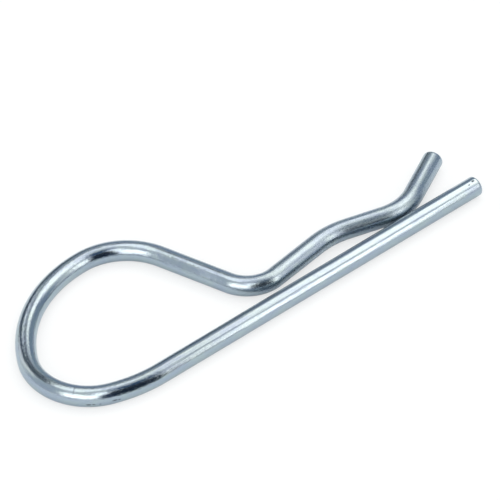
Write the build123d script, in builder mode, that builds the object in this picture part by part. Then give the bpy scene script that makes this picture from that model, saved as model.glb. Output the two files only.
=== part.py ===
"""Hitch R clip pin: one length of round spring wire, bent flat into a straight leg, a loop and a wavy leg.

The straight leg lies along +X, with its tip outwards, and goes through the cross hole of a shaft. The wavy leg
comes back beside it, on the +Y side, and clasps the outside of the shaft. The origin is on the straight leg's
axis, level with the middle of the shaft seat, and the clip lies flat in the XY plane.
"""

from build123d import *
import os
from math import cos, radians, sin

# Wire
wire_diameter = 4.0
rim_radius = 0.4  # rounding of the two cut ends

# Whole clip, from the loop's far end to the straight leg's tip
overall_length = 100.0

# Clear gaps between the two legs, where the wavy leg runs level with the straight one
throat_gap = 1.8
seat_gap = 3.75
contact_gap = 0.6

# Slopes of the wavy leg's straight runs, measured from the straight leg
neck_angle = 71.0  # loop down to the throat
climb_angle = 8.0  # throat up to the shaft seat
fall_angle = 15.5  # shaft seat down to the contact
flare_angle = 27.5  # contact out to the flared tip
flare_run = 11.3

# Bend radii, at the middle of the wire
lead_radius = 30.0  # out of the straight leg
end_radius = 11.6  # round the loop's far end
side_radius = 29.0  # along the loop's far side
neck_radius = 13.0  # out of the loop
throat_radius = 7.0
seat_radius = 18.0
contact_radius = 12.0

# Turns of the loop: its lead, end and side together make half a turn
lead_angle = 21.0
end_angle = 98.5
side_angle = 180 - lead_angle - end_angle


def arc_rise(radius, start_angle, end_angle):
    """Height that an arc gains while its slope goes from one angle to another."""
    return radius * (cos(radians(start_angle)) - cos(radians(end_angle)))


def straight_run(height, angle, *bend_radii):
    """Straight length at a slope that makes up a height between two level bends, less what the bends take."""
    bends = sum(arc_rise(radius, 0, angle) for radius in bend_radii)
    return (height - bends) / sin(radians(angle))


wire_radius = wire_diameter / 2

# Heights of the wavy leg's middle line above the straight leg's axis
throat_height = throat_gap + wire_diameter
seat_height = seat_gap + wire_diameter
contact_height = contact_gap + wire_diameter
loop_height = (
    arc_rise(lead_radius, 0, lead_angle)
    + arc_rise(end_radius, lead_angle, lead_angle + end_angle)
    + arc_rise(side_radius, lead_angle + end_angle, lead_angle + end_angle + side_angle)
)

# Straight runs that close the wire between its bends
neck_run = straight_run(loop_height - throat_height, neck_angle, neck_radius, throat_radius)
climb_run = straight_run(seat_height - throat_height, climb_angle, throat_radius, seat_radius)
fall_run = straight_run(seat_height - contact_height, fall_angle, seat_radius, contact_radius)
loop_reach = end_radius + (lead_radius - end_radius) * sin(radians(lead_angle))
leg_run = overall_length - wire_radius - loop_reach

os.makedirs("parts", exist_ok=True)

with BuildPart() as r_clip:
    with BuildLine() as middle_line:
        seat_centre = (0, seat_height - seat_radius)
        seat = CenterArc(seat_centre, seat_radius, 90 + climb_angle, -(climb_angle + fall_angle))

        # From the seat out to the flared tip
        fall = PolarLine(seat @ 1, fall_run, direction=seat % 1)
        contact = JernArc(fall @ 1, fall % 1, contact_radius, fall_angle + flare_angle)
        flare = PolarLine(contact @ 1, flare_run, direction=contact % 1)

        # From the seat back through the throat, round the loop and along the straight leg
        climb = PolarLine(seat @ 0, climb_run, direction=-(seat % 0))
        throat = JernArc(climb @ 1, climb % 1, throat_radius, -(climb_angle + neck_angle))
        descent = PolarLine(throat @ 1, neck_run, direction=throat % 1)
        neck = JernArc(descent @ 1, descent % 1, neck_radius, neck_angle)
        side = JernArc(neck @ 1, neck % 1, side_radius, side_angle)
        loop_end = JernArc(side @ 1, side % 1, end_radius, end_angle)
        lead = JernArc(loop_end @ 1, loop_end % 1, lead_radius, lead_angle)
        leg = PolarLine(lead @ 1, leg_run, direction=lead % 1)
    with BuildSketch(Plane(origin=leg @ 1, z_dir=leg % 1)):
        Circle(wire_radius)
    sweep(path=middle_line.wires()[0])
    fillet(r_clip.faces().filter_by(GeomType.PLANE).edges(), rim_radius)
r_clip.part.label = "r_clip"
export_step(r_clip.part, "parts/r_clip.step")
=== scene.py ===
"""Hitch R clip pin in bright zinc plate, dressed and lit for its picture.

The clip is one length of round spring wire. Its middle line is a chain of straight runs and flat arcs that
touch without a kink, and its surface is a round section carried along that line. The plate's drawn grain,
tint and marks follow the wire, because each point of the surface knows its place along and round the wire
before it was bent.
"""

import logging
import math
from dataclasses import dataclass
from enum import Enum

import bpy
import numpy as np
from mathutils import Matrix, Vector
from numpy.typing import NDArray


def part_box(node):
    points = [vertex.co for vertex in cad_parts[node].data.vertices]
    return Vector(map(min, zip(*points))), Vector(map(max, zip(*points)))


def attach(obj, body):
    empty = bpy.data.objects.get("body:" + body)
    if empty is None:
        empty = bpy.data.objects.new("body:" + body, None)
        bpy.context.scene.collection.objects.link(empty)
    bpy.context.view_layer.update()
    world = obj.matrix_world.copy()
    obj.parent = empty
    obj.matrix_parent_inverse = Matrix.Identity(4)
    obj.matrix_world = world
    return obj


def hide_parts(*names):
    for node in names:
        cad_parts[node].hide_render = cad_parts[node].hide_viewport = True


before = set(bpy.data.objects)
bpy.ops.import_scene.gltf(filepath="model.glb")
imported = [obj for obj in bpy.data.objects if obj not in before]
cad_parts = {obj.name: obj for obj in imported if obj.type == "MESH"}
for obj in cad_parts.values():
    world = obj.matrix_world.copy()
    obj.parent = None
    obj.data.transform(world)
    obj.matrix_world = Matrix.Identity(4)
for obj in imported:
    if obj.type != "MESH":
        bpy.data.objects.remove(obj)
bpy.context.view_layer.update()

Array = NDArray[np.float64]
Indices = NDArray[np.int64]
Triple = tuple[float, float, float]
Colour = Triple
Span = tuple[float, float]
Socket = bpy.types.NodeSocket
Value = Socket | float
Inputs = dict[str | int, object]

MM = 0.001  # one millimetre in the scene's metres
NODE = "r_clip"
BODY = "root"
PLACE = "wire_place"  # the attribute that holds each point's place on the unbent wire, in millimetres
STRAIN = "wire_strain"  # the attribute that holds how far bending stretched the wire's outside there
UNWRAPPED = "OFBake"  # the UV map with the wire laid out flat
CUT_FINISH = 1  # place of the cut faces' material in the piece's list, after the plate's
NOISE_DETAIL = 3.0  # finer layers in each noise
HALF_TURN = 180.0  # in degrees
SQUARE = np.array([[0.0, 0.0], [1.0, 0.0], [1.0, 1.0], [0.0, 1.0]])  # corners of a card's UV map, in order
UV_MIDDLE = 0.5

log = logging.getLogger("r_clip")


@dataclass(frozen=True)
class Stretch:
    """A stretch of the middle line that keeps its curvature: a straight run, or an arc.

    Attributes:
        length: Length along the middle line, in millimetres.
        turn: Change of heading over the stretch, in degrees, to the left if positive.
    """

    length: float
    turn: float = 0.0

    @classmethod
    def arc(cls, radius: float, turn: float) -> "Stretch":
        """Makes the stretch of an arc from its radius and its turn."""
        return cls(radius * math.radians(abs(turn)), turn)


class MiddleLine:
    """The wire's middle line: stretches that follow each other without a kink, in one flat plane."""

    def __init__(self, start: tuple[float, float], heading: float, stretches: list[Stretch]) -> None:
        """Works out where each stretch starts.

        The chord of an arc of length L and turn T is L sin(T/2) / (T/2) long, and points half the turn on
        from the arc's first heading. The same words hold for a straight run, whose turn is nought.

        Args:
            start: First point, in millimetres.
            heading: First heading, in degrees from +X.
            stretches: The stretches in order.
        """
        self.lengths: Array = np.array([stretch.length for stretch in stretches])
        self.turns: Array = np.radians([stretch.turn for stretch in stretches])
        self.ends: Array = np.cumsum(self.lengths)
        self.begins: Array = self.ends - self.lengths
        self.headings: Array = math.radians(heading) + np.cumsum(self.turns) - self.turns
        steps = self._chord(self.lengths, self.turns, self.headings)
        self.starts: Array = np.array(start) + np.cumsum(steps, axis=0) - steps

    @staticmethod
    def _chord(length: Array, turn: Array, heading: Array) -> Array:
        """Gives the vector from the first to the last point of arcs, one row each."""
        middle = heading + turn / 2
        return (length * np.sinc(turn / 2 / np.pi) * np.stack([np.cos(middle), np.sin(middle)])).T

    @property
    def length(self) -> float:
        """Whole length of the wire, in millimetres."""
        return float(self.ends[-1])

    def at(self, along: Array) -> tuple[Array, Array]:
        """Follows the line to given lengths from its start.

        Args:
            along: Lengths from the start, in millimetres.

        Returns:
            The points, and the headings in radians.
        """
        which = np.clip(np.searchsorted(self.ends, along), 0, len(self.ends) - 1)
        inside = along - self.begins[which]
        turn = self.turns[which] / self.lengths[which] * inside
        points = self.starts[which] + self._chord(inside, turn, self.headings[which])
        return points, self.headings[which] + turn


@dataclass(frozen=True)
class MarkLook:
    """How a kind of mark shows.

    Attributes:
        shade: Share of the plate's brightness that it takes away.
        ragged: How far its edge wanders, as a share of its size.
        grit: How rough it leaves the plate, from 0 to 1.
    """

    shade: float
    ragged: float
    grit: float


class MarkKind(Enum):
    """Kinds of mark in the plate."""

    PIT = MarkLook(shade=0.92, ragged=0.9, grit=0.8)
    SPECK = MarkLook(shade=0.85, ragged=1.3, grit=0.6)
    SCORE = MarkLook(shade=0.30, ragged=0.5, grit=0.3)
    SCUFF = MarkLook(shade=0.06, ragged=1.5, grit=1.0)


@dataclass(frozen=True)
class Mark:
    """A small mark in the plate, by its place on the unbent wire.

    Attributes:
        kind: What it is.
        along: Distance from the straight tip, in millimetres.
        around: Place round the wire in degrees, from the wire's left side over its top.
        half_size: Half its length along the wire and half its width round it, in millimetres.
        depth: How deep it is, in millimetres.
    """

    kind: MarkKind
    along: float
    around: float
    half_size: Span
    depth: float = 0.0

    def centre(self, wire_radius: float) -> Triple:
        """Gives the mark's middle on the unbent wire, in millimetres."""
        turn = math.radians(self.around)
        return self.along, wire_radius * math.cos(turn), wire_radius * math.sin(turn)

    @property
    def reach(self) -> Array:
        """How far it reaches from its middle each way on the unbent wire, in millimetres."""
        length, width = self.half_size
        return np.array([length, width, width])

    def sink(self, place: Array, wire_radius: float) -> Array:
        """Gives how deep the mark is at places on the wire: a round dish that is level at its rim.

        Args:
            place: Places on the unbent wire, one row each.
            wire_radius: Radius of the wire.

        Returns:
            Depth at each place, in millimetres.
        """
        distance = np.linalg.norm((place - self.centre(wire_radius)) / self.reach, axis=1)
        return self.depth * np.clip(1 - distance**2, 0, 1) ** 2


def rgba(colour: Colour) -> tuple[float, float, float, float]:
    """Gives a colour with full cover, as sockets hold it."""
    return (*colour, 1.0)


def smooth_step(value: Array) -> Array:
    """Carries values from 0 to 1, level at both ends: thrice their squares less twice their cubes."""
    held = np.clip(value, 0, 1)
    return held**2 * (3 - 2 * held)


def add_object(name: str, data: bpy.types.ID) -> bpy.types.Object:
    """Puts an object in the scene.

    Args:
        name: Its name.
        data: Its mesh or camera.

    Returns:
        The object.
    """
    thing = bpy.data.objects.new(name, data)
    bpy.context.scene.collection.objects.link(thing)
    return thing


class Graph:
    """Adds nodes to one node tree and joins them."""

    def __init__(self, tree: bpy.types.NodeTree) -> None:
        """Takes the node tree to work in."""
        self.tree = tree

    def feed(self, target: Socket, value: object) -> None:
        """Joins a socket to an input, or sets the input to a plain value.

        Args:
            target: The input.
            value: The socket or the value.
        """
        if isinstance(value, bpy.types.NodeSocket):
            self.tree.links.new(value, target)
        else:
            target.default_value = value

    def add(self, kind: str, inputs: Inputs | None = None, **settings: object) -> bpy.types.Node:
        """Adds a node.

        Args:
            kind: Type of the node.
            inputs: What to feed to its inputs, by name or by place.
            **settings: Properties to set on it.

        Returns:
            The node.
        """
        node = self.tree.nodes.new(kind)
        for name, value in settings.items():
            setattr(node, name, value)
        for key, value in (inputs or {}).items():
            self.feed(node.inputs[key], value)
        return node

    def math(self, operation: str, first: object, second: object = 0.0) -> Socket:
        """Adds an operation on two numbers and gives its result."""
        return self.add("ShaderNodeMath", {0: first, 1: second}, operation=operation).outputs[0]

    def weighted(self, *terms: tuple[Socket, float]) -> Value:
        """Adds up values, each times its own weight.

        Args:
            *terms: Each value with its weight.

        Returns:
            The total.
        """
        total: Value = 0.0
        for value, weight in terms:
            total = self.math("ADD", self.math("MULTIPLY", value, weight), total)
        return total

    def vector_math(self, operation: str, first: object, second: object = (0.0, 0.0, 0.0)) -> bpy.types.Node:
        """Adds an operation on two vectors and gives its node."""
        return self.add("ShaderNodeVectorMath", {0: first, 1: second}, operation=operation)

    def noise(self, place: object, scale: float = 1.0, roughness: float = 0.5) -> Socket:
        """Adds a noise with values from 0 to 1 and gives its value."""
        inputs = {"Vector": place, "Scale": scale, "Detail": NOISE_DETAIL, "Roughness": roughness}
        return self.add("ShaderNodeTexNoise", inputs).outputs["Fac"]

    def remap(self, value: object, source: Span, target: Span = (0.0, 1.0)) -> Socket:
        """Carries a value smoothly from one range to another and holds it at the ends."""
        inputs = dict(enumerate((value, *source, *target)))
        return self.add("ShaderNodeMapRange", inputs, interpolation_type="SMOOTHSTEP").outputs["Result"]

    def mix_colour(self, share: object, first: object, second: object) -> Socket:
        """Mixes two colours.

        Args:
            share: Share of the second colour.
            first: First colour.
            second: Second colour.

        Returns:
            The mixed colour.
        """
        node = self.add("ShaderNodeMix", data_type="RGBA")
        sockets = {socket.identifier: socket for socket in (*node.inputs, *node.outputs)}
        for name, value in (("Factor_Float", share), ("A_Color", first), ("B_Color", second)):
            self.feed(sockets[name], value)
        return sockets["Result_Color"]

    def relief(self, height: Value, depth: float) -> Socket:
        """Turns a height into a normal, where a height of 1 stands for a depth in millimetres."""
        return self.add("ShaderNodeBump", {"Distance": depth * MM, "Height": height}).outputs["Normal"]

    def group(self, tree: bpy.types.NodeTree, **values: object) -> Socket:
        """Places a node group, feeds its inputs by name and gives its one output."""
        return self.add("ShaderNodeGroup", values, node_tree=tree).outputs[0]

    def rays(self) -> tuple[Socket, Socket]:
        """Gives a mask of the camera's rays, and one of the rays that metal and glass send on."""
        path = self.add("ShaderNodeLightPath").outputs
        return path["Is Camera Ray"], self.math("MAXIMUM", path["Is Glossy Ray"], path["Is Transmission Ray"])

    def show(self, share: Value, first: Socket, second: Socket) -> None:
        """Lets a material show two shaders, mixed by a share of the second."""
        mixed = self.add("ShaderNodeMixShader", {0: share, 1: first, 2: second})
        self.feed(self.tree.nodes["Material Output"].inputs["Surface"], mixed.outputs[0])


def start_material(name: str) -> tuple[bpy.types.Material, Graph, bpy.types.Node]:
    """Starts a material.

    Args:
        name: Its name.

    Returns:
        The material, its graph and its shader.
    """
    material = bpy.data.materials.new(name)
    material.use_nodes = True
    return material, Graph(material.node_tree), material.node_tree.nodes["Principled BSDF"]


class Effect:
    """A shader effect that materials share: a node group with named inputs and one named output."""

    def __init__(self, name: str, inputs: dict[str, str], output: str, kind: str = "NodeSocketFloat") -> None:
        """Starts an empty group.

        Args:
            name: Name of the group.
            inputs: Socket type of each input, by name.
            output: Name of the output.
            kind: Socket type of the output.
        """
        self.tree = bpy.data.node_groups.new(name, "ShaderNodeTree")
        for label, socket_type in inputs.items():
            self.tree.interface.new_socket(label, in_out="INPUT", socket_type=socket_type)
        self.tree.interface.new_socket(output, in_out="OUTPUT", socket_type=kind)
        self.graph = Graph(self.tree)
        self.inputs = self.graph.add("NodeGroupInput").outputs
        self.output = self.graph.add("NodeGroupOutput").inputs[0]


class WireEffects:
    """The shader effects that the wire's finishes share."""

    GRAIN_ROUGHNESS = 0.55  # weight of the finer layers in the grain
    CLOUD_ROUGHNESS = 0.6  # the same in the clouds of tint
    CLOUD_SPAN = (0.3, 0.7)  # noise that stands for the thinnest and for the thickest layer
    EDGE_DENSITY = 3.5  # wanders of a mark's edge to a millimetre
    EDGE_MIDDLE = 0.5  # noise at which that edge doesn't wander
    EDGE_SPAN = (0.5, 1.0)  # where a mark begins to fade and where it is gone, as shares of its reach

    def __init__(self) -> None:
        """Builds the effects once."""
        self.grain = self._drawn_grain()
        self.tint = self._zinc_tint()
        self.spot = self._plate_mark()

    def _drawn_grain(self) -> bpy.types.NodeTree:
        """Makes the grain of worked metal: noise pulled out along one way of the unbent wire.

        Returns:
            A group that takes a place in millimetres and how many grains there are to a millimetre each way,
            and gives a grain from 0 to 1.
        """
        inputs = dict.fromkeys(("Place", "Density"), "NodeSocketVector")
        effect = Effect("drawn_grain", inputs, "Grain")
        graph = effect.graph
        spread = graph.vector_math("MULTIPLY", effect.inputs["Place"], effect.inputs["Density"])
        grain = graph.noise(spread.outputs["Vector"], roughness=self.GRAIN_ROUGHNESS)
        graph.feed(effect.output, grain)
        return effect.tree

    def _zinc_tint(self) -> bpy.types.NodeTree:
        """Makes the tint of the clear passivate over zinc: clouds between a thin and a thick layer's colour.

        Returns:
            A group that takes a place in millimetres, how many clouds there are to a millimetre each way and
            the two colours, and gives a colour.
        """
        inputs = dict.fromkeys(("Place", "Density"), "NodeSocketVector")
        inputs |= dict.fromkeys(("Thin", "Thick"), "NodeSocketColor")
        effect = Effect("zinc_tint", inputs, "Colour", "NodeSocketColor")
        graph = effect.graph
        spread = graph.vector_math("MULTIPLY", effect.inputs["Place"], effect.inputs["Density"])
        cloud = graph.noise(spread.outputs["Vector"], roughness=self.CLOUD_ROUGHNESS)
        layer = graph.remap(cloud, self.CLOUD_SPAN)
        graph.feed(effect.output, graph.mix_colour(layer, effect.inputs["Thin"], effect.inputs["Thick"]))
        return effect.tree

    def _plate_mark(self) -> bpy.types.NodeTree:
        """Makes the patch of one mark: 1 in a stretched ball round its middle, with a ragged edge, else 0.

        Returns:
            A group that takes a place, the mark's middle, one over its reach each way and how ragged it is,
            and gives a mask.
        """
        inputs = dict.fromkeys(("Place", "Centre", "Closeness"), "NodeSocketVector")
        inputs["Ragged"] = "NodeSocketFloat"
        effect = Effect("plate_mark", inputs, "Mask")
        graph = effect.graph
        apart = graph.vector_math("SUBTRACT", effect.inputs["Place"], effect.inputs["Centre"])
        scaled = graph.vector_math("MULTIPLY", apart.outputs["Vector"], effect.inputs["Closeness"])
        distance = graph.vector_math("LENGTH", scaled.outputs["Vector"]).outputs["Value"]
        noise = graph.noise(effect.inputs["Place"], scale=self.EDGE_DENSITY)
        wander = graph.math("SUBTRACT", noise, self.EDGE_MIDDLE)
        shifted = graph.math("ADD", distance, graph.math("MULTIPLY", wander, effect.inputs["Ragged"]))
        graph.feed(effect.output, graph.remap(shifted, self.EDGE_SPAN, (1.0, 0.0)))
        return effect.tree


@dataclass(frozen=True)
class ZincPlate:
    """Bright zinc plate with a clear blue passivate over drawn steel wire.

    Attributes:
        thin: Colour where the passivate is thin and grey.
        thick: Colour where it is thicker and bluer.
        grime: Colour of what gathers in pits and scores.
        smooth: Roughness where the plate is brightest.
        dull: Roughness where it is cloudy.
        cloud_span: Sum of a streak and a bump where the plate is brightest and where it is cloudy.
        gritty: Roughness of a scuff.
        rub_span: Where along the wire the rub of the bending tools begins and is full, in millimetres.
        rub_haze: Roughness that it adds from there to the flared tip.
        tint_density: Clouds of tint to a millimetre, along and across the wire.
        streak_density: The same for the streaks of the drawing die.
        peel_density: The same for the bumps of the plate itself.
        fine_density: The same for the fine grains.
        relief_depth: Height of the whole relief, in millimetres.
        streak_weight: Share of the streaks in the relief.
        peel_weight: Share of the bumps in the relief, where the wire is straight.
        bend_weight: How much a bend adds to that share.
        full_strain: Strain from which a bend adds all of it.
        fine_weight: Share of the fine grains in the relief.
        grit_weight: Share of a scuff's grit in the relief.
    """

    thin: Colour = (0.355, 0.43, 0.463)
    thick: Colour = (0.319, 0.383, 0.467)
    grime: Colour = (0.035, 0.045, 0.06)
    smooth: float = 0.12
    dull: float = 0.21
    cloud_span: Span = (0.75, 1.25)
    gritty: float = 0.22
    rub_span: Span = (171.0, 182.0)
    rub_haze: float = 0.115
    tint_density: Triple = (0.3, 0.9, 0.9)
    streak_density: Triple = (0.13, 4.2, 4.2)
    peel_density: Triple = (1.6, 4.2, 4.2)
    fine_density: Triple = (0.7, 7.0, 7.0)
    relief_depth: float = 0.024
    streak_weight: float = 0.8
    peel_weight: float = 0.12
    bend_weight: float = 0.95
    full_strain: float = 0.07
    fine_weight: float = 0.2
    grit_weight: float = 2.0

    def material(self, effects: WireEffects, marks: list[Mark], wire_radius: float) -> bpy.types.Material:
        """Builds the plate's material.

        Args:
            effects: The shared effects.
            marks: Marks in the plate.
            wire_radius: Radius of the wire, in millimetres.

        Returns:
            The material.
        """
        material, graph, shader = start_material("zinc_plate")
        shader.inputs["Metallic"].default_value = 1.0
        place = graph.add("ShaderNodeAttribute", attribute_name=PLACE).outputs["Vector"]
        streak = graph.group(effects.grain, Place=place, Density=self.streak_density)
        peel = graph.group(effects.grain, Place=place, Density=self.peel_density)
        fine = graph.group(effects.grain, Place=place, Density=self.fine_density)
        tint = graph.group(
            effects.tint, Place=place, Density=self.tint_density, Thin=rgba(self.thin), Thick=rgba(self.thick)
        )
        shaded, worn = self._marked(graph, effects, place, marks, wire_radius)

        graph.feed(shader.inputs["Base Color"], graph.mix_colour(shaded, tint, rgba(self.grime)))
        cloudy = graph.remap(graph.math("ADD", streak, peel), self.cloud_span, (self.smooth, self.dull))
        along = graph.add("ShaderNodeSeparateXYZ", {"Vector": place}).outputs["X"]
        rubbed = graph.remap(along, self.rub_span, (0.0, self.rub_haze))
        scuffed = graph.math("MULTIPLY", worn, self.gritty)
        hazy = graph.math("MAXIMUM", graph.math("ADD", cloudy, rubbed), scuffed)
        graph.feed(shader.inputs["Roughness"], hazy)
        strain = graph.add("ShaderNodeAttribute", attribute_name=STRAIN).outputs["Fac"]
        bent = graph.remap(strain, (0.0, self.full_strain))
        height = graph.weighted(
            (streak, self.streak_weight),
            (peel, self.peel_weight),
            (graph.math("MULTIPLY", bent, peel), self.bend_weight),
            (fine, self.fine_weight),
            (graph.math("MULTIPLY", worn, peel), self.grit_weight),
        )
        graph.feed(shader.inputs["Normal"], graph.relief(height, self.relief_depth))
        return material

    @staticmethod
    def _marked(
        graph: Graph, effects: WireEffects, place: Socket, marks: list[Mark], wire_radius: float
    ) -> tuple[Value, Value]:
        """Gathers the marks into two masks.

        Args:
            graph: Where to add the nodes.
            effects: The shared effects.
            place: Place on the unbent wire.
            marks: The marks.
            wire_radius: Radius of the wire, in millimetres.

        Returns:
            How far the marks darken the plate, and how rough they leave it.
        """
        shaded: Value = 0.0
        worn: Value = 0.0
        for mark in marks:
            look = mark.kind.value
            patch = {"Centre": mark.centre(wire_radius), "Closeness": 1 / mark.reach, "Ragged": look.ragged}
            mask = graph.group(effects.spot, Place=place, **patch)
            shaded = graph.math("MAXIMUM", graph.math("MULTIPLY", mask, look.shade), shaded)
            worn = graph.math("MAXIMUM", graph.math("MULTIPLY", mask, look.grit), worn)
        return shaded, worn


@dataclass(frozen=True)
class ShearedZinc:
    """Zinc plate over the sheared face of a cut end: dull, with the lines that the shear drew.

    Attributes:
        thin: Colour where the passivate is thin.
        thick: Colour where it is thicker.
        smooth: Roughness on the lines.
        dull: Roughness between them.
        line_span: Grain on a line and between two.
        tint_density: Clouds of tint to a millimetre, each way.
        line_density: Lines to a millimetre, through the face, across the shear's path and along it.
        torn_density: Grains of the torn metal to a millimetre, each way.
        relief_depth: Height of the whole relief, in millimetres.
        torn_weight: Share of the torn grains in the relief.
    """

    thin: Colour = (0.36, 0.41, 0.45)
    thick: Colour = (0.30, 0.36, 0.42)
    smooth: float = 0.28
    dull: float = 0.46
    line_span: Span = (0.3, 0.7)
    tint_density: Triple = (0.8, 0.8, 0.8)
    line_density: Triple = (1.0, 6.0, 0.5)
    torn_density: Triple = (4.0, 4.0, 4.0)
    relief_depth: float = 0.05
    torn_weight: float = 0.6

    def material(self, effects: WireEffects) -> bpy.types.Material:
        """Builds the cut face's material.

        Args:
            effects: The shared effects.

        Returns:
            The material.
        """
        material, graph, shader = start_material("sheared_zinc")
        shader.inputs["Metallic"].default_value = 1.0
        place = graph.add("ShaderNodeAttribute", attribute_name=PLACE).outputs["Vector"]
        lines = graph.group(effects.grain, Place=place, Density=self.line_density)
        torn = graph.group(effects.grain, Place=place, Density=self.torn_density)
        tint = graph.group(
            effects.tint, Place=place, Density=self.tint_density, Thin=rgba(self.thin), Thick=rgba(self.thick)
        )
        graph.feed(shader.inputs["Base Color"], tint)
        graph.feed(shader.inputs["Roughness"], graph.remap(lines, self.line_span, (self.smooth, self.dull)))
        height = graph.weighted((lines, 1.0), (torn, self.torn_weight))
        graph.feed(shader.inputs["Normal"], graph.relief(height, self.relief_depth))
        return material


@dataclass(frozen=True)
class ClipWire:
    """The whole clip: its wire, bent into a straight leg, a loop and a wavy leg.

    The wavy leg is set by its gaps to the straight leg, the slopes of its runs and its bend radii. Lengths
    are in millimetres and angles in degrees.
    """

    wire_radius: float
    tip_x: float
    overall_length: float
    rim_radius: float = 0.4
    torn_depth: float = 0.07  # how far the torn half of a cut face lies under the sheared half
    torn_fade: int = 4  # power of the radius by which that step dies away at the rim

    # Clear gaps between the legs
    throat_gap: float = 1.8
    seat_gap: float = 3.75
    contact_gap: float = 0.6

    # Slopes of the wavy leg's runs
    neck_angle: float = 71.0
    climb_angle: float = 8.0
    fall_angle: float = 15.5
    flare_angle: float = 27.5
    flare_run: float = 11.3

    # Bends, at the middle of the wire
    lead_radius: float = 30.0
    end_radius: float = 11.6
    side_radius: float = 29.0
    neck_radius: float = 13.0
    throat_radius: float = 7.0
    seat_radius: float = 18.0
    contact_radius: float = 12.0
    lead_angle: float = 21.0
    end_angle: float = 98.5

    # Mesh
    rings: int = 940
    sides: int = 72
    rim_rings: int = 7
    face_rings: int = 9
    strain_span: float = 3.0  # half the length over which a bend's strain fades in
    sheet_rows: int = 4  # lengths that the wire is cut into on its UV map
    sheet_gap: float = 1.5

    @classmethod
    def from_frame(cls) -> "ClipWire":
        """Takes the wire's radius, its tip and the clip's length from the CAD solid.

        Returns:
            The clip.
        """
        low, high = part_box(NODE)
        return cls(
            wire_radius=(high.z - low.z) / 2 / MM,
            tip_x=high.x / MM,
            overall_length=(high.x - low.x) / MM,
        )

    @property
    def face_radius(self) -> float:
        """Radius of the flat part of a cut face."""
        return self.wire_radius - self.rim_radius

    @staticmethod
    def _rise(radius: float, first: float, last: float) -> float:
        """Height that an arc gains while its slope goes from one angle to another."""
        return radius * (math.cos(math.radians(first)) - math.cos(math.radians(last)))

    def _run(self, height: float, angle: float, *radii: float) -> float:
        """Straight length at a slope that makes up a height, less what the level bends at its ends take."""
        bends = sum(self._rise(radius, 0, angle) for radius in radii)
        return (height - bends) / math.sin(math.radians(angle))

    def middle_line(self) -> MiddleLine:
        """Lays out the middle line from the straight tip, round the loop, to the flared tip.

        Returns:
            The line.
        """
        gaps = (self.throat_gap, self.seat_gap, self.contact_gap)
        throat, seat, contact = (gap + 2 * self.wire_radius for gap in gaps)
        lead_end = self.lead_angle + self.end_angle
        loop = (
            self._rise(self.lead_radius, 0, self.lead_angle)
            + self._rise(self.end_radius, self.lead_angle, lead_end)
            + self._rise(self.side_radius, lead_end, HALF_TURN)
        )
        lean = math.sin(math.radians(self.lead_angle))
        reach = self.end_radius + (self.lead_radius - self.end_radius) * lean
        stretches = [
            Stretch(self.overall_length - self.wire_radius - reach),
            Stretch.arc(self.lead_radius, -self.lead_angle),
            Stretch.arc(self.end_radius, -self.end_angle),
            Stretch.arc(self.side_radius, lead_end - HALF_TURN),
            Stretch.arc(self.neck_radius, -self.neck_angle),
            Stretch(self._run(loop - throat, self.neck_angle, self.neck_radius, self.throat_radius)),
            Stretch.arc(self.throat_radius, self.neck_angle + self.climb_angle),
            Stretch(self._run(seat - throat, self.climb_angle, self.throat_radius, self.seat_radius)),
            Stretch.arc(self.seat_radius, -(self.climb_angle + self.fall_angle)),
            Stretch(self._run(seat - contact, self.fall_angle, self.seat_radius, self.contact_radius)),
            Stretch.arc(self.contact_radius, self.fall_angle + self.flare_angle),
            Stretch(self.flare_run),
        ]
        return MiddleLine((self.tip_x, 0.0), HALF_TURN, stretches)

    def profile(self, length: float) -> tuple[Array, Array]:
        """Draws the wire's side from the middle of one end face to the middle of the other.

        The half outline goes out over the end face, round a quarter circle at the rim, along the wire, and
        back.

        Args:
            length: Length of the wire.

        Returns:
            Distance along the wire and radius of each ring, poles included.
        """
        face = np.linspace(0, self.face_radius, self.face_rings, endpoint=False)
        turn = np.linspace(0, np.pi / 2, self.rim_rings)
        half_along = np.concatenate([np.zeros(self.face_rings), self.rim_radius * (1 - np.cos(turn))])
        half_radius = np.concatenate([face, self.face_radius + self.rim_radius * np.sin(turn)])
        shank = np.linspace(self.rim_radius, length - self.rim_radius, self.rings)[1:-1]
        along = np.concatenate([half_along, shank, length - half_along[::-1]])
        radius = np.concatenate([half_radius, np.full(len(shank), self.wire_radius), half_radius[::-1]])
        return along, radius

    def _torn(self, across: Array) -> Array:
        """Gives how far the cut faces are sunk.

        Below a cut face's middle the metal tore. There it sinks by a smooth step, which dies away at the rim.

        Args:
            across: Places across the wire, ring by ring.

        Returns:
            The depth at each place, which is nought off the cut faces.
        """
        share = np.clip(np.linalg.norm(across, axis=2) / self.face_radius, 0, 1)
        below = smooth_step((self.face_radius / 2 - across[..., 1]) / self.face_radius)
        return self.torn_depth * below * (1 - share**self.torn_fade)

    def strain(self, line: MiddleLine, along: Array) -> Array:
        """Gives how far bending stretched the wire's outside: its radius times the mean curvature nearby.

        Args:
            line: The middle line.
            along: Distances along the wire.

        Returns:
            The strain at each distance.
        """
        ends = (np.clip(along + step, 0, line.length) for step in (-self.strain_span, self.strain_span))
        before, after = (line.at(end)[1] for end in ends)
        return np.abs(after - before) / (2 * self.strain_span) * self.wire_radius

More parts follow.
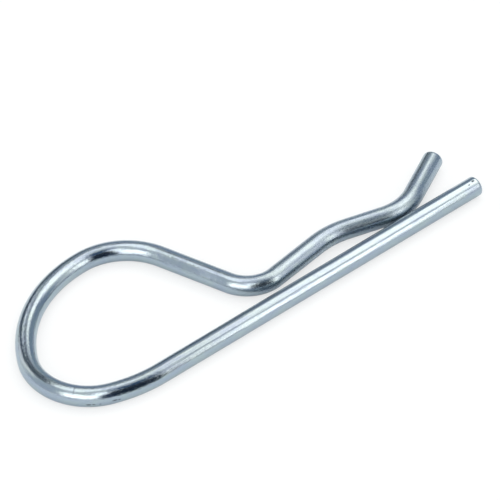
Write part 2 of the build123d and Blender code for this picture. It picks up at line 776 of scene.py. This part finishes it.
    def surface(self, line: MiddleLine, marks: list[Mark]) -> tuple[Array, Array]:
        """Carries the round section along the middle line.

        A point at angle a round the wire lies at middle + r (cos a * left + sin a * up), where left is square
        to the heading in the plane of the clip. Marks pull the point in towards the middle, and a cut face is
        sunk along the wire.

        Args:
            line: The middle line.
            marks: Marks that are sunk into the surface.

        Returns:
            The points, and their places on the unbent wire, ring by ring, in millimetres. The first and the
            last ring are single points.
        """
        along, radius = self.profile(line.length)
        angle = np.linspace(0, 2 * np.pi, self.sides, endpoint=False)
        around = np.stack([np.cos(angle), np.sin(angle)], axis=1)
        across = radius[:, None, None] * around[None]
        lengths = np.broadcast_to(along[:, None, None], (*across.shape[:2], 1))
        place = np.concatenate([lengths, across], axis=2)
        flat_place = place.reshape(-1, 3)
        inward = np.where(along < line.length / 2, 1.0, -1.0)[:, None] * self._torn(across)
        sink = sum(mark.sink(flat_place, self.wire_radius) for mark in marks)
        across = across * (1 - np.reshape(sink, across.shape[:2]) / self.wire_radius)[..., None]
        points, heading = line.at(along)
        left = np.stack([-np.sin(heading), np.cos(heading)], axis=1)
        ahead = np.stack([np.cos(heading), np.sin(heading)], axis=1)
        level = points[:, None] + across[..., :1] * left[:, None] + inward[..., None] * ahead[:, None]
        shape = np.concatenate([level, across[..., 1:]], axis=2).reshape(-1, 3)
        kept = slice(self.sides - 1, len(shape) - self.sides + 1)
        return shape[kept], flat_place[kept]

    def faces(self, count: int) -> tuple[Indices, Indices]:
        """Joins the rings with quads, and the two poles with fans of triangles, all facing outwards.

        Args:
            count: Number of points of the surface.

        Returns:
            The corners of the triangles and of the quads, one row each.
        """
        column = np.arange(self.sides)
        after = np.roll(column, -1)
        ring = 1 + self.sides * np.arange((count - 2) // self.sides)
        low, high = ring[:-1, None], ring[1:, None]
        quads = np.stack([low + column, low + after, high + after, high + column], axis=2).reshape(-1, 4)
        first = np.stack([np.zeros_like(column), 1 + after, 1 + column], axis=1)
        last = np.stack([np.full_like(column, count - 1), ring[-1] + column, ring[-1] + after], axis=1)
        return np.concatenate([first, last]), quads

    def unwrap(self, length: float) -> tuple[Array, Array]:
        """Lays the surface out flat for its UV map.

        The wire is slit along its left side and rolled out: across the sheet runs the length of the profile
        from the first pole, and up it the distance round the wire. The long strip is cut into rows, one over
        the other.

        Args:
            length: Length of the wire.

        Returns:
            The UV of the triangles' and of the quads' corners, in the order of the faces.
        """
        along, radius = self.profile(length)
        run = np.concatenate([[0.0], np.cumsum(np.hypot(np.diff(along), np.diff(radius)))])
        steps = np.arange(len(run) - 1)
        row = steps * self.sheet_rows // len(steps)
        row_start = run[np.searchsorted(row, np.arange(self.sheet_rows))]
        begin, end = run[:-1] - row_start[row], run[1:] - row_start[row]
        strip = 2 * np.pi * self.wire_radius
        base = row * (strip + self.sheet_gap)
        side = np.arange(self.sides)
        shape = (len(steps), self.sides)
        low, high = (np.broadcast_to(value[:, None], shape) for value in (begin, end))
        right, left = (base[:, None] + strip * (side + step) / self.sides for step in (0, 1))
        middle = (right + left) / 2
        corners = [(low, right), (low, left), (high, left), (high, right)]
        quads = np.stack([np.stack(corner, axis=2) for corner in corners], axis=2)[1:-1]
        fans = [
            [(low[0], middle[0]), (high[0], left[0]), (high[0], right[0])],
            [(high[-1], middle[-1]), (low[-1], right[-1]), (low[-1], left[-1])],
        ]
        triangles = np.concatenate(
            [np.stack([np.stack(corner, axis=1) for corner in fan], axis=1) for fan in fans]
        )
        extent = max(end.max(), base.max() + strip) + 2 * self.sheet_gap
        return tuple((sheet.reshape(-1, 2) + self.sheet_gap) / extent for sheet in (triangles, quads))

    def build(self, marks: list[Mark]) -> bpy.types.Object:
        """Builds the wire's mesh.

        Args:
            marks: Marks that are sunk into the surface.

        Returns:
            The piece, in the scene.
        """
        line = self.middle_line()
        shape, place = self.surface(line, marks)
        blocks = self.faces(len(shape))
        corners = np.concatenate([block.ravel() for block in blocks])
        sizes = np.concatenate([np.full(len(block), block.shape[1]) for block in blocks])
        mesh = bpy.data.meshes.new("clip_wire")
        mesh.vertices.add(len(shape))
        mesh.vertices.foreach_set("co", (shape * MM).ravel())
        mesh.loops.add(len(corners))
        mesh.loops.foreach_set("vertex_index", corners)
        mesh.polygons.add(len(sizes))
        mesh.polygons.foreach_set("loop_start", np.cumsum(sizes) - sizes)
        mesh.polygons.foreach_set("use_smooth", np.ones(len(sizes), bool))
        face_quads = (self.face_rings - 1) * self.sides
        finish = np.zeros(len(sizes), np.int32)
        finish[: len(blocks[0]) + face_quads] = CUT_FINISH
        finish[-face_quads:] = CUT_FINISH
        mesh.polygons.foreach_set("material_index", finish)
        places = mesh.attributes.new(PLACE, "FLOAT_VECTOR", "POINT")
        places.data.foreach_set("vector", place.ravel())
        strains = mesh.attributes.new(STRAIN, "FLOAT", "POINT")
        strains.data.foreach_set("value", self.strain(line, place[:, 0]))
        sheet = mesh.uv_layers.new(name=UNWRAPPED)
        sheet.data.foreach_set("uv", np.concatenate(self.unwrap(line.length)).ravel())
        mesh.update(calc_edges=True)
        return add_object("clip_wire", mesh)

    def dress(self, piece: bpy.types.Object, plate: ZincPlate, cut: ShearedZinc, marks: list[Mark]) -> None:
        """Gives the wire its plate and lets it stand for the CAD solid.

        Args:
            piece: The wire's piece.
            plate: Finish along the wire.
            cut: Finish of the cut faces.
            marks: Marks in the plate.
        """
        effects = WireEffects()
        piece.data.materials.append(plate.material(effects, marks, self.wire_radius))
        piece.data.materials.append(cut.material(effects))
        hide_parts(NODE)
        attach(piece, BODY)


class CardKind(Enum):
    """What a studio card does: a softbox gives light, and a flag only shows dark in the metal."""

    SOFTBOX = "softbox"
    FLAG = "flag"


class Tint(Enum):
    """Colours of the studio cards."""

    WARM = (1.07, 1.0, 0.92)
    WHITE = (1.04, 1.0, 0.96)
    MIST = (0.94, 1.01, 1.09)
    SLATE = (0.85, 1.02, 1.22)
    NAVY = (0.46, 1.0, 1.85)


@dataclass(frozen=True)
class Card:
    """A flat card round the clip that the metal reflects.

    Attributes:
        name: Its name.
        kind: What it does.
        tint: Its colour.
        level: How bright it is, where 1 is white.
        bearing: Direction to its middle, in degrees from +Y towards +X.
        height: Height of its middle over the table, in degrees.
        half_size: Half its width and half its height, as shares of its distance.
        distance: Distance from the clip, in metres.
        edge: Share of its half size over which it fades out.
        roll: Turn in its own plane, in degrees.
    """

    name: str
    kind: CardKind
    tint: Tint
    level: float
    bearing: float
    height: float
    half_size: Span
    distance: float
    edge: float
    roll: float = 0.0

    def corners(self, centre: Vector) -> Array:
        """Gives the card's corners, square to the line to the clip.

        Args:
            centre: Middle of the clip, in metres.

        Returns:
            The four corners, in metres.
        """
        bearing, height, roll = (math.radians(angle) for angle in (self.bearing, self.height, self.roll))
        level = math.cos(height)
        out = np.array([math.sin(bearing) * level, math.cos(bearing) * level, math.sin(height)])
        right = np.array([math.cos(bearing), -math.sin(bearing), 0.0])
        up = np.cross(right, out)
        turned_right = math.cos(roll) * right + math.sin(roll) * up
        turned_up = math.cos(roll) * up - math.sin(roll) * right
        reach = (2 * SQUARE - 1) * self.half_size
        spread = reach[:, :1] * turned_right + reach[:, 1:] * turned_up
        return np.array(centre) + self.distance * (out + spread)

    def material(self) -> bpy.types.Material:
        """Builds the card's material: a plain glow that fades to nothing at the card's edges.

        Returns:
            The material.
        """
        material, graph, shader = start_material(self.name)
        graph.tree.nodes.remove(shader)
        axes = graph.add("ShaderNodeSeparateXYZ", {"Vector": graph.add("ShaderNodeTexCoord").outputs["UV"]})
        fade_span = (UV_MIDDLE * (1 - self.edge), UV_MIDDLE)
        fades = []
        for axis in ("X", "Y"):
            from_middle = graph.math("ABSOLUTE", graph.math("SUBTRACT", axes.outputs[axis], UV_MIDDLE))
            fades.append(graph.remap(from_middle, fade_span, (1.0, 0.0)))
        clear = graph.add("ShaderNodeBsdfTransparent")
        glow = graph.add("ShaderNodeEmission", {"Color": rgba(self.tint.value), "Strength": self.level})
        graph.show(graph.math("MULTIPLY", *fades), clear.outputs[0], glow.outputs[0])
        return material

    def build(self, centre: Vector) -> bpy.types.Object:
        """Builds the card.

        Args:
            centre: Middle of the clip, in metres.

        Returns:
            The card, which the camera doesn't see.
        """
        mesh = bpy.data.meshes.new(self.name)
        mesh.from_pydata(self.corners(centre).tolist(), [], [range(len(SQUARE))])
        layer = mesh.uv_layers.new(name="card")
        layer.data.foreach_set("uv", SQUARE.ravel())
        mesh.materials.append(self.material())
        card = add_object(self.name, mesh)
        card.visible_camera = False
        if self.kind is CardKind.FLAG:
            card.visible_diffuse = False
            card.visible_shadow = False
        return card


@dataclass(frozen=True)
class View:
    """The camera: where it stands, and the lens that frames the clip.

    Attributes:
        azimuth: Direction that it looks in, in degrees, 0 along +Y.
        elevation: Height over the table, in degrees.
        distance: Distance to the point that it looks at, in metres.
        target: The point that it looks at, in metres.
        lens: Focal length, in millimetres.
    """

    azimuth: float = -41.25
    elevation: float = 42.0
    distance: float = 1.0
    target: Triple = (-0.01309, 0.01474, 0.0)
    lens: float = 378.74

    def build(self) -> bpy.types.Object:
        """Sets up the scene's camera.

        Returns:
            The camera.
        """
        turn, rise = math.radians(self.azimuth), math.radians(self.elevation)
        back = Vector((math.sin(turn) * math.cos(rise), -math.cos(turn) * math.cos(rise), math.sin(rise)))
        camera = add_object("camera", bpy.data.cameras.new("camera"))
        camera.data.lens = self.lens
        camera.location = Vector(self.target) + self.distance * back
        camera.rotation_euler = (-back).to_track_quat("-Z", "Y").to_euler()
        bpy.context.scene.camera = camera
        return camera


@dataclass(frozen=True)
class Studio:
    """The table, the white room and the cards round the clip.

    Attributes:
        table_half: Half the table's side, in metres.
        table_colour: Colour of the table.
        camera_glow: Share of plain white in what the camera sees of the table. The rest is lit.
        metal_glow: The same share in what the metal shows of the table.
        ambient: Level of the room's light on what isn't shiny.
    """

    table_half: float = 3.0
    table_colour: Colour = (0.85, 0.905, 0.94)
    camera_glow: float = 0.65
    metal_glow: float = 0.05
    ambient: float = 0.75

    @staticmethod
    def cards() -> list[Card]:
        """Lists the cards.

        Returns:
            The flags, and then the softboxes.
        """
        box, flag = CardKind.SOFTBOX, CardKind.FLAG
        return [
            Card("flag_behind", flag, Tint.SLATE, level=0.44, bearing=68, height=23.5,
                 half_size=(1.25, 0.35), roll=-4, edge=0.12, distance=1.5),
            Card("flag_far_left", flag, Tint.MIST, level=0.76, bearing=-64, height=34,
                 half_size=(0.60, 0.59), roll=-11, edge=0.40, distance=0.95),
            Card("flag_far_low", flag, Tint.SLATE, level=0.18, bearing=7, height=14,
                 half_size=(0.50, 0.43), roll=-18, edge=0.30, distance=1.15),
            Card("flag_far_high", flag, Tint.SLATE, level=0.15, bearing=6, height=58,
                 half_size=(0.45, 0.39), roll=33, edge=0.15, distance=0.90),
            Card("flag_over_right", flag, Tint.NAVY, level=0.12, bearing=158, height=61,
                 half_size=(0.23, 0.26), roll=30, edge=0.15, distance=0.80),
            Card("flag_left_low", flag, Tint.NAVY, level=0.06, bearing=202.5, height=21.5,
                 half_size=(0.175, 0.36), edge=0.20, distance=0.238),
            Card("flag_right_edge", flag, Tint.SLATE, level=0.25, bearing=160.5, height=30.4,
                 half_size=(0.045, 0.50), edge=0.40, distance=0.206),
            Card("flag_right", flag, Tint.NAVY, level=0.03, bearing=180, height=28.2,
                 half_size=(0.33, 0.52), edge=0.08, distance=0.203),
            Card("softbox_far", box, Tint.WHITE, level=2.0, bearing=14.5, height=34,
                 half_size=(0.135, 0.12), roll=-20, edge=0.40, distance=0.85),
            Card("softbox_right_high", box, Tint.WARM, level=2.65, bearing=82, height=53,
                 half_size=(0.55, 0.215), roll=10, edge=0.45, distance=0.70),
            Card("softbox_over", box, Tint.WHITE, level=2.2, bearing=13, height=74,
                 half_size=(0.40, 0.22), roll=-28, edge=0.22, distance=0.86),
            Card("softbox_far_strip", box, Tint.WHITE, level=1.3, bearing=-23, height=22.5,
                 half_size=(0.23, 0.55), roll=30, edge=0.45, distance=0.60),
            Card("softbox_right_low", box, Tint.WARM, level=3.3, bearing=146, height=26,
                 half_size=(0.105, 0.36), roll=22, edge=0.35, distance=0.49),
            Card("softbox_left_high", box, Tint.WHITE, level=2.55, bearing=-151.5, height=52,
                 half_size=(0.18, 0.30), roll=16, edge=0.26, distance=0.35),
            Card("softbox_left", box, Tint.WARM, level=3.1, bearing=-123, height=33,
                 half_size=(0.52, 0.42), edge=0.40, distance=0.68),
        ]

    def table(self, height: float) -> bpy.types.Object:
        """Builds the table that the clip lies on.

        Args:
            height: Height of its top, in metres.

        Returns:
            The table.
        """
        mesh = bpy.data.meshes.new("table")
        corners = [(*corner, height) for corner in self.table_half * (2 * SQUARE - 1)]
        mesh.from_pydata(corners, [], [range(len(SQUARE))])
        mesh.materials.append(self.table_material())
        table = add_object("table", mesh)
        return table

    def table_material(self) -> bpy.types.Material:
        """Builds the table's material: matt white that shows as white, with part of its shadows left.

        Returns:
            The material.
        """
        material, graph, shader = start_material("table")
        shader.inputs["Base Color"].default_value = rgba(self.table_colour)
        shader.inputs["Roughness"].default_value = 1.0
        shader.inputs["Specular IOR Level"].default_value = 0.0
        seen, mirrored = graph.rays()
        share = graph.weighted((seen, self.camera_glow), (mirrored, self.metal_glow))
        graph.show(share, shader.outputs[0], graph.add("ShaderNodeEmission").outputs[0])
        return material

    def room(self) -> bpy.types.World:
        """Makes the room white for the camera and in the metal, and plainly lit for the rest.

        Returns:
            The room's world.
        """
        world = bpy.data.worlds.new("white_room")
        bpy.context.scene.world = world
        world.use_nodes = True
        graph = Graph(world.node_tree)
        background = world.node_tree.nodes["Background"]
        background.inputs["Color"].default_value = rgba((1.0, 1.0, 1.0))
        shown = graph.math("MAXIMUM", *graph.rays())
        graph.feed(background.inputs["Strength"], graph.remap(shown, (0.0, 1.0), (self.ambient, 1.0)))
        return world

    def build(self) -> None:
        """Builds the table, the room, the cards and the camera."""
        low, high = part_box(NODE)
        centre = (low + high) / 2
        self.table(low.z)
        self.room()
        for card in self.cards():
            card.build(centre)
            log.info("card %s", card.name)
        View().build()
        bpy.context.scene.view_settings.view_transform = "Standard"


def wire_marks() -> list[Mark]:
    """Lists the marks that show in the plate.

    Returns:
        The marks, kind by kind.
    """
    return [
        Mark(MarkKind.PIT, along=2.42, around=73, half_size=(0.26, 0.17), depth=0.05),
        Mark(MarkKind.PIT, along=1.15, around=82, half_size=(0.42, 0.24), depth=0.06),
        Mark(MarkKind.SPECK, along=94.8, around=-9, half_size=(0.52, 0.22), depth=0.02),
        Mark(MarkKind.SPECK, along=94.0, around=-7, half_size=(0.34, 0.14), depth=0.02),
        Mark(MarkKind.SPECK, along=92.9, around=-8, half_size=(0.22, 0.13), depth=0.01),
        Mark(MarkKind.SPECK, along=90.5, around=0, half_size=(0.55, 0.22), depth=0.02),
        Mark(MarkKind.SPECK, along=89.7, around=-2, half_size=(0.36, 0.14), depth=0.02),
        Mark(MarkKind.SCORE, along=97.35, around=66, half_size=(0.10, 1.1), depth=0.01),
        Mark(MarkKind.SCUFF, along=163.0, around=136, half_size=(8.0, 1.0)),
    ]


def main() -> None:
    """Builds the clip and its studio, and reports each piece."""
    logging.basicConfig(level=logging.INFO, format="%(name)s: %(message)s")
    wire = ClipWire.from_frame()
    marks = wire_marks()
    piece = wire.build(marks)
    wire.dress(piece, ZincPlate(), ShearedZinc(), marks)
    log.info("piece %s: %d faces", piece.name, len(piece.data.polygons))
    Studio().build()


if __name__ == "__main__":
    main()
